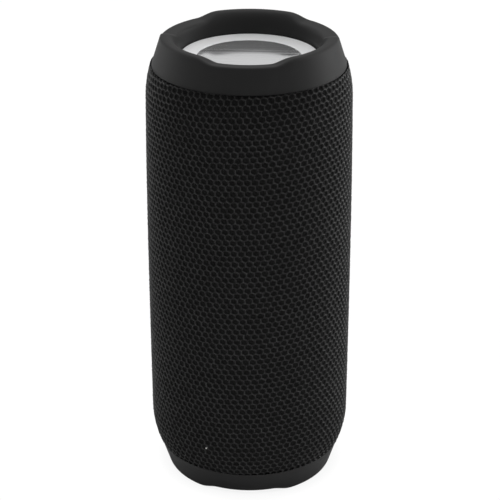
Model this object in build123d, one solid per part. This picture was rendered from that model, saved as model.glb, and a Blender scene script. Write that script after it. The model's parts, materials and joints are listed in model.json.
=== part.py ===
from build123d import *
import os
from math import cos, radians, sin, sqrt

# Portable Bluetooth speaker: an upright cylinder in a fabric sleeve, with a wavy rubber ring and
# a passive radiator at each end. Two full-range drivers face -Y. The keys and the ports sit in a
# spine on the +Y side.
# Frame: millimetres, +Z up, origin at the centre of the plane that the bottom ring stands on.

# ---- Body ---------------------------------------------------------------------------------
HEIGHT = 178.0
BODY_R = 39.0                  # largest fabric radius, at mid height
RING_H = 11.1                  # end ring, from its seam with the fabric to its lobes
MID_Z = HEIGHT / 2
SEAM_LOW = RING_H
SEAM_HIGH = HEIGHT - RING_H
SHOULDER_H = 13.0              # height of the rounded shoulder next to each seam
SHOULDER_R = 34.2              # radius of the shoulder's arc
SHOULDER_TOP_R = 38.72         # body radius where the shoulder meets the slightly barrelled side
MID_PLANE = Plane.XY.offset(MID_Z)

# ---- Sleeve, grille and housing -------------------------------------------------------------
FABRIC_T = 0.8
GRILLE_T = 1.0
GRILLE_OUT = FABRIC_T + 0.1     # insets of the grille from the fabric's outer surface
GRILLE_IN = GRILLE_OUT + GRILLE_T
GRILLE_END = 14.6              # lower end of the grille; the upper end mirrors it
HOUSING_R = 35.2
HOUSING_T = 2.2
HOUSING_TOP = 161.4
HOUSING_LOW = HEIGHT - HOUSING_TOP
END_WALL_T = 2.4
END_OPENING_R = 30.5
SEAL_T = 0.8                   # gasket between the front and rear halves
BAFFLE_Y = -26.0               # front face of the flat that carries the drivers
BAFFLE_T = 2.5
BAFFLE_END = 22.0              # lower end of the flat; the upper end mirrors it
BOSS_X = 29.0
BOSS_R = 3.3
BOSS_HEIGHTS = (30.0, MID_Z, 148.0)

# ---- End ring -----------------------------------------------------------------------------
RING_BASE_R = 36.0             # outer radius at the seam
RING_TOP_R = 32.5              # outer wall carried on to the height of the lobes
RING_BORE_R = 26.2
RING_BORE_H = 3.0              # straight part of the bore, above the seam
CREST_IN_R = 31.0              # flat of each lobe, where the horn of the bore ends
CREST_ROUND = 1.0
RING_UNDER = 1.5               # the ring's underside lies this far behind the seam
DIP_DEPTH = 2.4
DIP_TILT = 5.5                 # the dips lean inwards by this angle, degrees
DIP_HALF_FLAT = 10.5
DIP_HALF_WIDTH = 18.5
DIP_ANGLES = (-90.0, 30.0, 150.0)
PEG_R = 1.5
PEG_LENGTH = 2.6
PEG_CIRCLE_R = 33.5            # circle of the pegs and of the frame's screws

# ---- Passive radiators (top one; the bottom one mirrors it) ---------------------------------
PLATE_R = 25.8
PLATE_Z = 170.0                # edge of the visible face
PLATE_T = 1.2
DISC_R = 19.6                  # flat centre inside the sloping rim of the plate
DISC_DROP = 0.85
GROOVE_W = 0.35
GROOVE_D = 0.3
HUB_R = 21.5
HUB_FLANGE_R = 23.6
HUB_FLANGE_T = 1.4
LIP_T = 0.8
LIP_Z = SEAM_HIGH - RING_UNDER - LIP_T
LIP_R = 32.0
ROLL_IN_R = 24.2               # the surround's roll spans these two radii
ROLL_OUT_R = 30.4
ROLL_T = 0.6
FRAME_BORE_R = 30.8
FRAME_LOW = 162.0
FRAME_HIGH = SEAM_HIGH - RING_UNDER
FRAME_SCREW_ANGLES = (30.0, 90.0, 150.0, 210.0, 270.0, 330.0)
PEG_ANGLES = (0.0, 120.0, 240.0)

# ---- Drivers --------------------------------------------------------------------------------
DRIVER_HEIGHTS = {"upper": 126.0, "lower": 52.0}
DRIVER_R = 23.0
DRIVER_HOLE_R = 20.6
FLANGE_T = 1.2
EAR_CIRCLE_R = 25.0
EAR_R = 2.4
COIL_R = 6.75
CONE_R = 17.0
SHELF_H = -10.0                # the spider's shelf, behind the baffle face
PLATE_H = -14.4                # rear face of the basket, where the motor begins
MAGNET_H = PLATE_H - 2.0         # front and rear faces of the magnet
YOKE_H = MAGNET_H - 4.0
YOKE_T = 2.0
MOTOR_R = 12.5

# ---- Electronics bay and battery --------------------------------------------------------------
BAY_HALF_W = 12.5
BAY_WALL = 2.6
BAY_FLOOR_Y = 20.0
BAY_FLOOR_T = 2.0
BAY_LOW = 20.0
BAY_HIGH = 158.0
BOARD_Y = 22.4                 # face of the main board that rests on its standoffs
BOARD_T = 1.6
BOARD_FRONT_Y = BOARD_Y + BOARD_T
KEY_BOARD_Y = 28.0
KEY_BOARD_T = 1.0
CELL_R = 9.2
CELL_L = 65.0
CELL_Y = 6.5
WIRE_R = 0.6
WIRE_X = 2.5
WIRE_Z = 47.0

# ---- Spine, keys and port flap ------------------------------------------------------------------
SPINE_HALF_W = 7.5
SPINE_LOW = 20.0
SPINE_HIGH = 158.0
SPINE_PROUD = 0.1
SPINE_GAP = 0.1                # between the spine's side and the fabric and grille around it
LID_R = 36.6                   # just inside the grille
LID_LOW = 22.0
LID_HIGH = 156.0
LID_SCREW_X = 13.8
LID_SCREW_Y = 32.8
KEY_R = 4.6
KEY_CLEAR = 0.1
KEY_PROUD = 0.15
KEY_FLANGE_R = 5.5
KEY_HEIGHTS = {
    "power_button": 146.0,
    "volume_up_button": 131.0,
    "play_button": 116.0,
    "volume_down_button": 101.0,
    "mode_button": 86.0,
}
SYMBOL_DEPTH = 0.3
SYMBOL_LINE = 0.7
MIC_Z = 153.6
CHARGE_LIGHT_Z = 71.0
CHARGE_LIGHT_R = 0.6
BAY_DOOR_HALF_W = 5.5
DOOR_CLEAR = 0.1
HINGE_Y = 37.7
HINGE_Z = 29.0
HINGE_R = 1.3
PIN_R = 0.5
PIN_CLEAR = 0.05
PIN_HALF_L = 6.4               # ends inside the spine, under its curved surface
PORT_TOP = 63.0
PORT_FLOOR_Y = 36.2
FLAP_BACK_Y = 37.1
USB_Z = 57.5
AUX_Z = 49.0
CARD_Z = 38.0
PORT_FRONT_Y = 35.9

# ---- Front status light ---------------------------------------------------------------------
STATUS_ANGLE = -113.1          # direction of the light in plan; -90 is straight ahead
STATUS_Z = 22.4
STATUS_R = 0.3


# ---- Shape helpers ----------------------------------------------------------------------------
def disc(radius, z0, z1, x=0.0, y=0.0):
    """Upright cylinder between two heights."""
    return Pos(x, y, (z0 + z1) / 2) * Cylinder(radius, z1 - z0)


def ring(r_out, r_in, z0, z1):
    """Flat ring between two heights."""
    return disc(r_out, z0, z1) - disc(r_in, z0, z1)


def block(x0, x1, y0, y1, z0, z1):
    """Box between two corners."""
    return Pos((x0 + x1) / 2, (y0 + y1) / 2, (z0 + z1) / 2) * Box(x1 - x0, y1 - y0, z1 - z0)


def rod_y(radius, x, z, y0, y1):
    """Cylinder along Y."""
    return Pos(x, (y0 + y1) / 2, z) * Rot(90, 0, 0) * Cylinder(radius, y1 - y0)


def rod_x(radius, y, z, x0, x1):
    """Cylinder along X."""
    return Pos((x0 + x1) / 2, y, z) * Rot(0, 90, 0) * Cylinder(radius, x1 - x0)


def turned(*points):
    """Solid of revolution about Z of a closed outline of (radius, height) points."""
    return revolve(Plane.XZ * make_face(Polyline(*points, close=True)), Axis.Z)


def screw(head_r, head_h, shaft_r, length):
    """Pan-head screw with a cross recess; its head stands on z = 0 and the shaft points down."""
    body = disc(head_r, 0, head_h) + disc(shaft_r, -length, 0)
    recess_half = head_r * 0.6
    recess_w = head_r * 0.12
    recess_z = head_h * 0.5
    across = block(-recess_half, recess_half, -recess_w, recess_w, recess_z, head_h)
    return body - across - Rot(0, 0, 90) * across


def around(part, radius, angles, z):
    """Copies of a part on a circle about Z."""
    return [Pos(radius * cos(radians(a)), radius * sin(radians(a)), z) * part for a in angles]


def fuse(parts):
    """One shape out of several."""
    total = parts[0]
    for part in parts[1:]:
        total = total + part
    return total


def at_bottom(part):
    """The same part at the other end of the speaker."""
    return mirror(part, about=MID_PLANE)


def body_radius(z, inset=0.0):
    """Body radius at a height: rounded shoulders and a slight barrel between them."""
    to_shoulder_top = SHOULDER_H - min(z - SEAM_LOW, SEAM_HIGH - z)
    if to_shoulder_top > 0:
        arc_r = SHOULDER_R - inset
        return SHOULDER_TOP_R - SHOULDER_R + sqrt(arc_r ** 2 - to_shoulder_top ** 2)
    from_middle = (z - MID_Z) / (MID_Z - SEAM_LOW - SHOULDER_H)
    return BODY_R - inset - (BODY_R - SHOULDER_TOP_R) * from_middle ** 2


def body_core(inset, z0, z1):
    """Solid inside the body's surface at an inset, cut between two heights."""
    low_top = SEAM_LOW + SHOULDER_H
    high_low = SEAM_HIGH - SHOULDER_H
    heights = (SEAM_LOW, (SEAM_LOW + low_top) / 2, low_top, MID_Z,
               high_low, (SEAM_HIGH + high_low) / 2, SEAM_HIGH)
    points = [(body_radius(z, inset), z) for z in heights]
    arcs = [ThreePointArc(*points[i:i + 3]) for i in (0, 2, 4)]
    rest = Polyline(points[-1], (0, SEAM_HIGH), (0, SEAM_LOW), points[0])
    core = revolve(Plane.XZ * make_face(fuse(arcs) + rest), Axis.Z)
    return core & disc(BODY_R + 5, z0, z1)


def body_tube(inset_out, inset_in, z0, z1):
    """Tube that follows the body between two insets from the fabric's outer surface."""
    return body_core(inset_out, z0, z1) - body_core(inset_in, z0, z1)


def spine_outline(grow, y0, y1):
    """Stadium column of the spine, grown on all sides."""
    stadium = SlotOverall(SPINE_HIGH - SPINE_LOW + 2 * grow, 2 * (SPINE_HALF_W + grow), rotation=90)
    middle = Pos(0, y0, (SPINE_LOW + SPINE_HIGH) / 2) * Rot(90, 0, 0)
    return extrude(middle * stadium, amount=y1 - y0, dir=(0, 1, 0))


# ---- Sleeve, grille and housing -------------------------------------------------------------
def fabric_sleeve():
    """Knitted sleeve with the opening for the spine and a pinhole for the status light."""
    sleeve = body_tube(0, FABRIC_T, SEAM_LOW, SEAM_HIGH)
    return sleeve - spine_outline(SPINE_GAP, 30, 45) - status_rod(STATUS_R, HOUSING_R, BODY_R + 2)


def grille_slots():
    """Horizontal slots through the grille in front of each driver."""
    slot_half_h = 1.0
    pitch_z = 4.4
    columns = (-54.0, -32.0, -10.0, 12.0, 34.0)
    slot_sweep = 18.0
    cutter_r = BODY_R + 3
    wedge_face = Polyline((0, 0), (cutter_r, 0),
                          (cutter_r * cos(radians(slot_sweep)), cutter_r * sin(radians(slot_sweep))),
                          close=True)
    wedge = extrude(make_face(wedge_face), amount=2 * slot_half_h)
    slots = []
    for centre in DRIVER_HEIGHTS.values():
        for row in range(-5, 6):
            z = centre + row * pitch_z - slot_half_h
            for start in columns:
                slots.append(Pos(0, 0, z) * Rot(0, 0, start - 90) * wedge)
    return slots


def grille_shell():
    """Slotted tube that holds the fabric off the drivers; its end rims sit on the housing."""
    grille_top = HEIGHT - GRILLE_END
    tube = body_tube(GRILLE_OUT, GRILLE_IN, GRILLE_END, grille_top)
    rim = ring(36.6, HOUSING_R, HOUSING_TOP - END_WALL_T, HOUSING_TOP)
    shell = tube + rim + at_bottom(rim)
    shell = shell - spine_outline(SPINE_GAP, 30, 45) - status_rod(STATUS_R, HOUSING_R, BODY_R + 2)
    return shell - grille_slots()


def housing_whole():
    """Closed enclosure before it is split: flat baffle in front, electronics bay behind."""
    high_baffle = HEIGHT - BAFFLE_END
    outer = disc(HOUSING_R, HOUSING_LOW, HOUSING_TOP)
    outer = outer - block(-40, 40, -40, BAFFLE_Y, BAFFLE_END, high_baffle)
    outer = outer - block(-BAY_HALF_W, BAY_HALF_W, BAY_FLOOR_Y, 40, BAY_LOW, BAY_HIGH)
    inside = disc(HOUSING_R - HOUSING_T, HOUSING_LOW + END_WALL_T, HOUSING_TOP - END_WALL_T)
    inside = inside - block(-40, 40, -40, BAFFLE_Y + BAFFLE_T,
                            BAFFLE_END - HOUSING_T, high_baffle + HOUSING_T)
    bay_w = BAY_HALF_W + BAY_WALL
    inside = inside - block(-bay_w, bay_w, BAY_FLOOR_Y - BAY_FLOOR_T, 40,
                            HOUSING_LOW, HOUSING_TOP)
    shell = outer - inside
    shell = shell - disc(END_OPENING_R, HOUSING_TOP - END_WALL_T, HOUSING_TOP)
    shell = shell - disc(END_OPENING_R, HOUSING_LOW, HOUSING_LOW + END_WALL_T)
    return shell


def housing_bosses(y0, y1):
    """Screw bosses that join the two halves, trimmed to the housing's outside."""
    bosses = [rod_y(BOSS_R, side * BOSS_X, z, y0, y1) for side in (-1, 1) for z in BOSS_HEIGHTS]
    return fuse(bosses) & disc(HOUSING_R - 0.2, HOUSING_LOW, HOUSING_TOP)


def frame_screw_holes(radius):
    """Pilot holes for the radiator frames' screws at both ends of the housing."""
    hole = disc(radius, -5, 0)
    holes = around(hole, PEG_CIRCLE_R, FRAME_SCREW_ANGLES, HOUSING_TOP)
    return holes + [at_bottom(h) for h in holes]


def frame_screw_bosses():
    """Bosses under the end walls that take the radiator frames' screws."""
    bosses = around(disc(2.0, -5.4, -END_WALL_T), 32.9, FRAME_SCREW_ANGLES, HOUSING_TOP)
    bosses = fuse(bosses) & disc(HOUSING_R - 0.2, HOUSING_LOW, HOUSING_TOP)
    return bosses + at_bottom(bosses)


def front_housing(whole):
    """Front half with the driver openings, their screw bosses and the joining bosses."""
    half = (whole + frame_screw_bosses()) & block(-40, 40, -40, -SEAL_T / 2, 0, HEIGHT)
    half = half + housing_bosses(-16, -SEAL_T / 2)
    for z in DRIVER_HEIGHTS.values():
        half = half - rod_y(DRIVER_HOLE_R, 0, z, BAFFLE_Y - 1, BAFFLE_Y + BAFFLE_T + 1)
        for x, dz in ear_places():
            half = half + rod_y(EAR_R, x, z + dz, BAFFLE_Y + BAFFLE_T, BAFFLE_Y + 7)
            half = half - rod_y(0.9, x, z + dz, BAFFLE_Y, BAFFLE_Y + 6)
    for side in (-1, 1):
        for z in BOSS_HEIGHTS:
            half = half - rod_y(0.9, side * BOSS_X, z, -9, 0)
    return half - frame_screw_holes(0.8)


def rear_housing(whole):
    """Rear half with the electronics bay, board standoffs and counterbored joining bosses."""
    half = (whole + frame_screw_bosses()) & block(-40, 40, SEAL_T / 2, 40, 0, HEIGHT)
    half = half + housing_bosses(SEAL_T / 2, 20)
    for side in (-1, 1):
        for z in BOSS_HEIGHTS:
            half = half - rod_y(0.9, side * BOSS_X, z, 0, 8)
            half = half - rod_y(2.1, side * BOSS_X, z, 6, 40)
            half = half - rod_y(0.7, side * LID_SCREW_X, z, 26, 40)
            half = half - rod_y(1.5, side * LID_SCREW_X, z, LID_SCREW_Y, 40)
    for x, z in board_screw_places():
        half = half + rod_y(2.0, x, z, BAY_FLOOR_Y, BOARD_Y)
        half = half - rod_y(0.8, x, z, BAY_FLOOR_Y, BOARD_Y)
    for x, z in wire_starts():
        half = half - rod_y(WIRE_R, x, z, BAY_FLOOR_Y - BAY_FLOOR_T, BAY_FLOOR_Y)
    return half - frame_screw_holes(0.8)


def housing_seal(whole):
    """Gasket cut to the walls, squeezed between the two halves."""
    seal = whole & block(-40, 40, -SEAL_T / 2, SEAL_T / 2, 0, HEIGHT)
    return seal


def housing_screws():
    """Six screws that join the halves, driven from behind."""
    one = Rot(-90, 0, 0) * screw(1.9, 1.6, 0.9, 14.5)
    return [Pos(side * BOSS_X, 6, z) * one for side in (-1, 1) for z in BOSS_HEIGHTS]


# ---- End rings --------------------------------------------------------------------------------
def dip_cutter():
    """Wide trough along X that sinks the rim between two lobes by DIP_DEPTH."""
    top = 8.0
    down = Spline((-DIP_HALF_WIDTH, 0), (-DIP_HALF_FLAT, -DIP_DEPTH), tangents=[(1, 0), (1, 0)])
    up = Spline((DIP_HALF_FLAT, -DIP_DEPTH), (DIP_HALF_WIDTH, 0), tangents=[(1, 0), (1, 0)])
    floor = Line((-DIP_HALF_FLAT, -DIP_DEPTH), (DIP_HALF_FLAT, -DIP_DEPTH))
    cap = Polyline((DIP_HALF_WIDTH, 0), (DIP_HALF_WIDTH, top), (-DIP_HALF_WIDTH, top), (-DIP_HALF_WIDTH, 0))
    trough = extrude(Plane.YZ * make_face(down + floor + up + cap), amount=45)
    tilt_about = Pos(RING_TOP_R, 0, 0) * Rot(0, -DIP_TILT, 0) * Pos(-RING_TOP_R, 0, 0)
    return tilt_about * trough


def end_ring():
    """Rubber ring at the top: sloping outside, horn-shaped bore, three lobes and three dips."""
    bore_end = SEAM_HIGH + RING_BORE_H
    wall_slope = (RING_BASE_R - RING_TOP_R) / RING_H
    crest_out_r = RING_TOP_R - CREST_ROUND
    wall_end_r = RING_TOP_R + wall_slope * CREST_ROUND
    wall = Polyline((RING_BORE_R, bore_end), (RING_BORE_R, FRAME_HIGH), (HOUSING_R, FRAME_HIGH),
                    (HOUSING_R, SEAM_HIGH), (RING_BASE_R, SEAM_HIGH), (wall_end_r, HEIGHT - CREST_ROUND))
    edge = Spline((wall_end_r, HEIGHT - CREST_ROUND), (crest_out_r, HEIGHT),
                  tangents=[(-wall_slope, 1), (-1, 0)])
    crest = Line((crest_out_r, HEIGHT), (CREST_IN_R, HEIGHT))
    horn = EllipticalCenterArc((CREST_IN_R, bore_end), CREST_IN_R - RING_BORE_R, HEIGHT - bore_end,
                               start_angle=90, arc_size=90)
    solid = revolve(Plane.XZ * make_face(wall + edge + crest + horn), Axis.Z)
    for angle in DIP_ANGLES:
        solid = solid - Rot(0, 0, angle) * Pos(0, 0, HEIGHT) * dip_cutter()
    return solid + around(disc(PEG_R, -PEG_LENGTH, 0), PEG_CIRCLE_R, PEG_ANGLES, FRAME_HIGH)


# ---- Passive radiators --------------------------------------------------------------------------
def radiator_frame():
    """Ring that closes the housing's end and carries the surround's outer lip."""
    frame = ring(HOUSING_R, FRAME_BORE_R, FRAME_LOW, FRAME_HIGH)
    frame = frame - ring(LIP_R, FRAME_BORE_R, LIP_Z, FRAME_HIGH)
    frame = frame - around(disc(0.8, -4, 0), PEG_CIRCLE_R, FRAME_SCREW_ANGLES, FRAME_HIGH)
    frame = frame - around(disc(1.45, -1.3, 0), PEG_CIRCLE_R, FRAME_SCREW_ANGLES, FRAME_HIGH)
    return frame - around(disc(PEG_R, -PEG_LENGTH, 0), PEG_CIRCLE_R, PEG_ANGLES, FRAME_HIGH)


def radiator_gasket():
    """Foam ring between the housing's end wall and the radiator frame."""
    gasket = ring(HOUSING_R, END_OPENING_R + 0.5, HOUSING_TOP, FRAME_LOW)
    return gasket - around(disc(0.8, -1, 1), PEG_CIRCLE_R, FRAME_SCREW_ANGLES, HOUSING_TOP)


def radiator_surround():
    """Rubber surround with a half roll that hangs between its two flat lips."""
    roll_mid_r = (ROLL_OUT_R + ROLL_IN_R) / 2
    roll_r = (ROLL_OUT_R - ROLL_IN_R + ROLL_T) / 2 - 0.1
    merge = 0.2
    outer_lip = ring(LIP_R, ROLL_OUT_R - merge, LIP_Z, LIP_Z + LIP_T)
    inner_lip = ring(ROLL_IN_R + merge, HUB_R, LIP_Z, LIP_Z + LIP_T)
    section = Circle(roll_r) - Circle(roll_r - ROLL_T)
    section = section & Pos(0, -roll_r) * Rectangle(2 * roll_r, 2 * roll_r)
    roll = revolve(Plane.XZ * Pos(roll_mid_r, LIP_Z + LIP_T) * section, Axis.Z)
    return outer_lip + inner_lip + roll


def radiator_plate():
    """Aluminium plate: a rim that slopes down inwards to a fine groove round a flat disc."""
    disc_z = PLATE_Z - DISC_DROP
    under_z = PLATE_Z - PLATE_T
    edge = 0.25
    return turned((0, under_z - DISC_DROP), (DISC_R, under_z - DISC_DROP), (PLATE_R - 1, under_z),
                  (PLATE_R, under_z), (PLATE_R, PLATE_Z - edge), (PLATE_R - edge, PLATE_Z),
                  (DISC_R, disc_z), (DISC_R, disc_z - GROOVE_D),
                  (DISC_R - GROOVE_W, disc_z - GROOVE_D), (DISC_R - GROOVE_W, disc_z), (0, disc_z))


def radiator_weight():
    """Steel mass bonded under the plate, with the flange that carries the surround."""
    top = PLATE_Z - PLATE_T - DISC_DROP
    low = LIP_Z - HUB_FLANGE_T
    weight = disc(DISC_R, LIP_Z, top) + disc(HUB_R, LIP_Z, LIP_Z + 2.4)
    weight = weight + disc(HUB_FLANGE_R, low, LIP_Z)
    return weight - disc(14.0, low - 1, LIP_Z + 1.2)


def radiator_screws():
    """Six screws through each radiator frame into the housing's end walls."""
    one = screw(1.4, 1.0, 0.8, 7.5)
    upper = around(one, PEG_CIRCLE_R, FRAME_SCREW_ANGLES, FRAME_HIGH - 1.3)
    return upper + [at_bottom(s) for s in upper]


# ---- Drivers: local frame with +Z out of the baffle ------------------------------------------------
def ear_places():
    """The four fixing points of a driver's flange, from its centre."""
    step = EAR_CIRCLE_R * sqrt(0.5)
    return [(sx * step, sy * step) for sx in (-1, 1) for sy in (-1, 1)]


def basket():
    """Frame of a driver: flange with ears, conical wall with windows, shelf, neck and back."""
    frame = ring(DRIVER_R, DRIVER_HOLE_R - 0.6, 0, FLANGE_T)
    for x, y in ear_places():
        frame = frame + disc(EAR_R, 0, FLANGE_T, x, y) - disc(0.9, 0, FLANGE_T, x, y)
    wall = turned((20.4, 0.2), (19.4, 0.2), (14.4, SHELF_H), (15.4, SHELF_H))
    window = block(8, 30, -5, 5, SHELF_H + 1.5, -1.5)
    for quarter in range(4):
        wall = wall - Rot(0, 0, 90 * quarter) * window
    wall = wall + ring(20.6, 19.4, -0.6, 0.2)
    shelf = ring(15.4, 12.6, SHELF_H - 1.2, SHELF_H)
    neck = ring(13.6, 12.6, PLATE_H, SHELF_H - 1.2)
    back = ring(13.6, 7.6, PLATE_H, PLATE_H + 1.2)
    frame = frame - disc(19.6, 0, FLANGE_T)
    return frame + wall + shelf + neck + back


def driver_surround():
    """Rubber edge of the cone: a half roll between two flat lips."""
    outer = ring(22.0, 20.2, FLANGE_T, FLANGE_T + 0.5)
    inner = ring(CONE_R, 16.3, FLANGE_T, FLANGE_T + 0.5)
    roll_r = (20.2 - CONE_R) / 2
    section = (Circle(roll_r + 0.3) - Circle(roll_r - 0.2)) & Pos(0, 2) * Rectangle(8, 4)
    roll = revolve(Plane.XZ * Pos((20.2 + CONE_R) / 2, FLANGE_T) * section, Axis.Z)
    return outer + inner + roll


def spider():
    """Corrugated suspension disc between the coil and the basket's shelf."""
    wave = 0.5
    thick = 0.4
    rim_r = 14.2
    flat_r = 12.8
    low = SHELF_H
    crests = 6
    radii = [COIL_R + (flat_r - COIL_R) * i / crests for i in range(crests + 1)]
    under = [(r, low + wave * (i % 2)) for i, r in enumerate(radii)] + [(rim_r, low)]
    over = [(r, h + thick) for r, h in reversed(under)]
    return turned(*under, *over)


def cone():
    """Paper cone, from the coil's former to the surround's inner lip."""
    return turned((COIL_R, -7.6), (CONE_R, 0.6), (CONE_R, FLANGE_T), (16.5, FLANGE_T), (COIL_R, -6.8))


def dust_cap():
    """Shallow dome over the coil."""
    base_r = 7.9
    base_h = -5.8
    rise = 2.4
    wall = 0.4
    sphere_r = (base_r ** 2 + rise ** 2) / (2 * rise)
    shell = Sphere(sphere_r) - Sphere(sphere_r - wall)
    return Pos(0, 0, base_h + rise - sphere_r) * shell & disc(base_r + 1, base_h, base_h + rise + 1)


def voice_coil():
    """Coil former with its winding in the motor's gap."""
    former = ring(COIL_R, COIL_R - 0.2, -18.0, -6.6)
    winding = ring(COIL_R + 0.4, COIL_R - 0.1, -17.6, -13.6)
    return former + winding


def on_baffle(part, height):
    """A part of a driver, moved from the driver's local frame to its place on the baffle."""
    return Pos(0, BAFFLE_Y, height) * Rot(90, 0, 0) * part


def driver_nodes(name, height):
    """Every piece of one driver, placed on the baffle with its axis along -Y."""
    pieces = {
        "basket": basket(),
        "surround": driver_surround(),
        "spider": spider(),
        "magnet": ring(MOTOR_R + 0.5, 8.2, YOKE_H, MAGNET_H),
        "cone": cone(),
        "dust_cap": dust_cap(),
        "voice_coil": voice_coil(),
    }
    return {f"{name}_driver_{piece}": on_baffle(shape, height) for piece, shape in pieces.items()}


def driver_screws():
    """Four screws through the ears of each driver."""
    one = Rot(90, 0, 0) * screw(1.7, 1.1, 0.9, 6.2)
    return [Pos(x, BAFFLE_Y - FLANGE_T, z + dz) * one
            for z in DRIVER_HEIGHTS.values() for x, dz in ear_places()]


# ---- Electronics and battery ------------------------------------------------------------------
def board_screw_places():
    """Fixing points of the main board: x and z."""
    return [(side * 9.0, z) for side in (-1, 1) for z in (27.0, 92.0, 151.0)]


def pillar_places():
    """Pillars between the main board and the key board: x and z."""
    return [(side * 5.2, z) for side in (-1, 1) for z in (78.6, 138.5)]


def main_board():
    """Main circuit board in the rear bay."""
    board = block(-11.5, 11.5, BOARD_Y, BOARD_FRONT_Y, 24.0, 154.0)
    for x, z in board_screw_places():
        board = board - rod_y(0.85, x, z, BOARD_Y, BOARD_FRONT_Y)
    return board


def board_fasteners():
    """Screws that hold the main board to its standoffs, and the key board's pillars."""
    one = Rot(-90, 0, 0) * screw(1.5, 1.0, 0.8, 4.0)
    screws = [Pos(x, BOARD_FRONT_Y, z) * one for x, z in board_screw_places()]
    return screws + [rod_y(1.5, x, z, BOARD_FRONT_Y, KEY_BOARD_Y) for x, z in pillar_places()]


def key_board():
    """Narrow board behind the keys."""
    return block(-7, 7, KEY_BOARD_Y, KEY_BOARD_Y + KEY_BOARD_T, 76.5, 155.5)


def tact_switches():
    """One push switch behind each key."""
    base_y = KEY_BOARD_Y + KEY_BOARD_T
    switches = []
    for z in KEY_HEIGHTS.values():
        case = block(-3, 3, base_y, base_y + 1.6, z - 3, z + 3)
        plunger = rod_y(1.4, 0, z, base_y + 1.6, base_y + 2.3)
        switches.append(case + plunger)
    return switches


def board_components():
    """Amplifier chip, board connector, microphone and the four capacitors beside the key board."""
    key_face_y = KEY_BOARD_Y + KEY_BOARD_T
    chip = block(-3, 3, BOARD_FRONT_Y, BOARD_FRONT_Y + 1.2, 84, 90)
    connector = block(-2, 2, BOARD_FRONT_Y, KEY_BOARD_Y, 117, 129)
    microphone = block(-1.5, 1.5, key_face_y, key_face_y + 1, MIC_Z - 1, MIC_Z + 1)
    capacitors = [rod_y(2.0, side * 9.4, z, BOARD_FRONT_Y, 30.5)
                  for side in (-1, 1) for z in (104.0, 112.0)]
    return [chip, connector, microphone] + capacitors


def charge_port():
    """USB-C receptacle: oval shell with its tongue."""
    shell = Pos(0, BOARD_FRONT_Y, USB_Z) * Rot(90, 0, 0) * RectangleRounded(9.0, 3.3, 1.6)
    mouth = Pos(0, PORT_FRONT_Y - 6, USB_Z) * Rot(90, 0, 0) * RectangleRounded(8.4, 2.7, 1.3)
    body = extrude(shell, amount=PORT_FRONT_Y - BOARD_FRONT_Y, dir=(0, 1, 0))
    body = body - extrude(mouth, amount=6, dir=(0, 1, 0))
    return body + block(-3.3, 3.3, PORT_FRONT_Y - 6, PORT_FRONT_Y - 0.8, USB_Z - 0.35, USB_Z + 0.35)


def aux_jack():
    """Audio jack with a 3.5 mm bore."""
    body = rod_y(3.0, 0, AUX_Z, BOARD_FRONT_Y + 6, PORT_FRONT_Y)
    body = body + block(-3.4, 3.4, BOARD_FRONT_Y, BOARD_FRONT_Y + 6, AUX_Z - 3.4, AUX_Z + 3.4)
    return body - rod_y(1.78, 0, AUX_Z, BOARD_FRONT_Y + 2, PORT_FRONT_Y)


def card_slot():
    """Memory-card slot, standing upright."""
    body = block(-1.1, 1.1, BOARD_FRONT_Y, PORT_FRONT_Y, CARD_Z - 6.2, CARD_Z + 6.2)
    return body - block(-0.45, 0.45, PORT_FRONT_Y - 8, PORT_FRONT_Y, CARD_Z - 5.6, CARD_Z + 5.6)


def battery_cell():
    """Cylindrical lithium cell with its positive cap."""
    low = MID_Z - CELL_L / 2
    can_top = low + CELL_L - 1
    return disc(CELL_R, low, can_top, 0, CELL_Y) + disc(3.0, can_top, low + CELL_L, 0, CELL_Y)


def battery_cradle():
    """Tray on the back of the electronics bay that the cell lies in."""
    cell_low = MID_Z - CELL_L / 2
    tray = block(-11, 11, 9.5, BAY_FLOOR_Y - BAY_FLOOR_T, cell_low + 5, cell_low + CELL_L - 5)
    tray = tray - disc(CELL_R, 0, HEIGHT, 0, CELL_Y)
    foot = block(-8, 8, 4, BAY_FLOOR_Y - BAY_FLOOR_T, cell_low - 2, cell_low)
    web = block(-8, 8, CELL_Y + CELL_R, BAY_FLOOR_Y - BAY_FLOOR_T, cell_low - 2, cell_low + 6)
    return tray + foot + web


def wire_starts():
    """Where the drivers' wires pass the bay floor: x and z."""
    return [(side * WIRE_X, z) for side in (-1, 1) for z in (WIRE_Z, HEIGHT - WIRE_Z)]


def speaker_wires():
    """Two wires to each driver, from the main board to the back of its basket."""
    floor_y = BAY_FLOOR_Y - BAY_FLOOR_T
    wires = []
    for side in (-1, 1):
        x = side * WIRE_X
        path = Spline((x, floor_y, WIRE_Z), (side * 3.4, 3.0, 38.0), (side * 4.0, -12.4, 37.4),
                      tangents=[(0, -1, 0), (0, -1, 0)])
        wire = sweep(Plane(path @ 0, z_dir=path % 0) * Circle(WIRE_R), path=path)
        wire = wire + rod_y(WIRE_R, x, WIRE_Z, floor_y, BOARD_Y)
        wires += [wire, at_bottom(wire)]
    return wires


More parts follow.
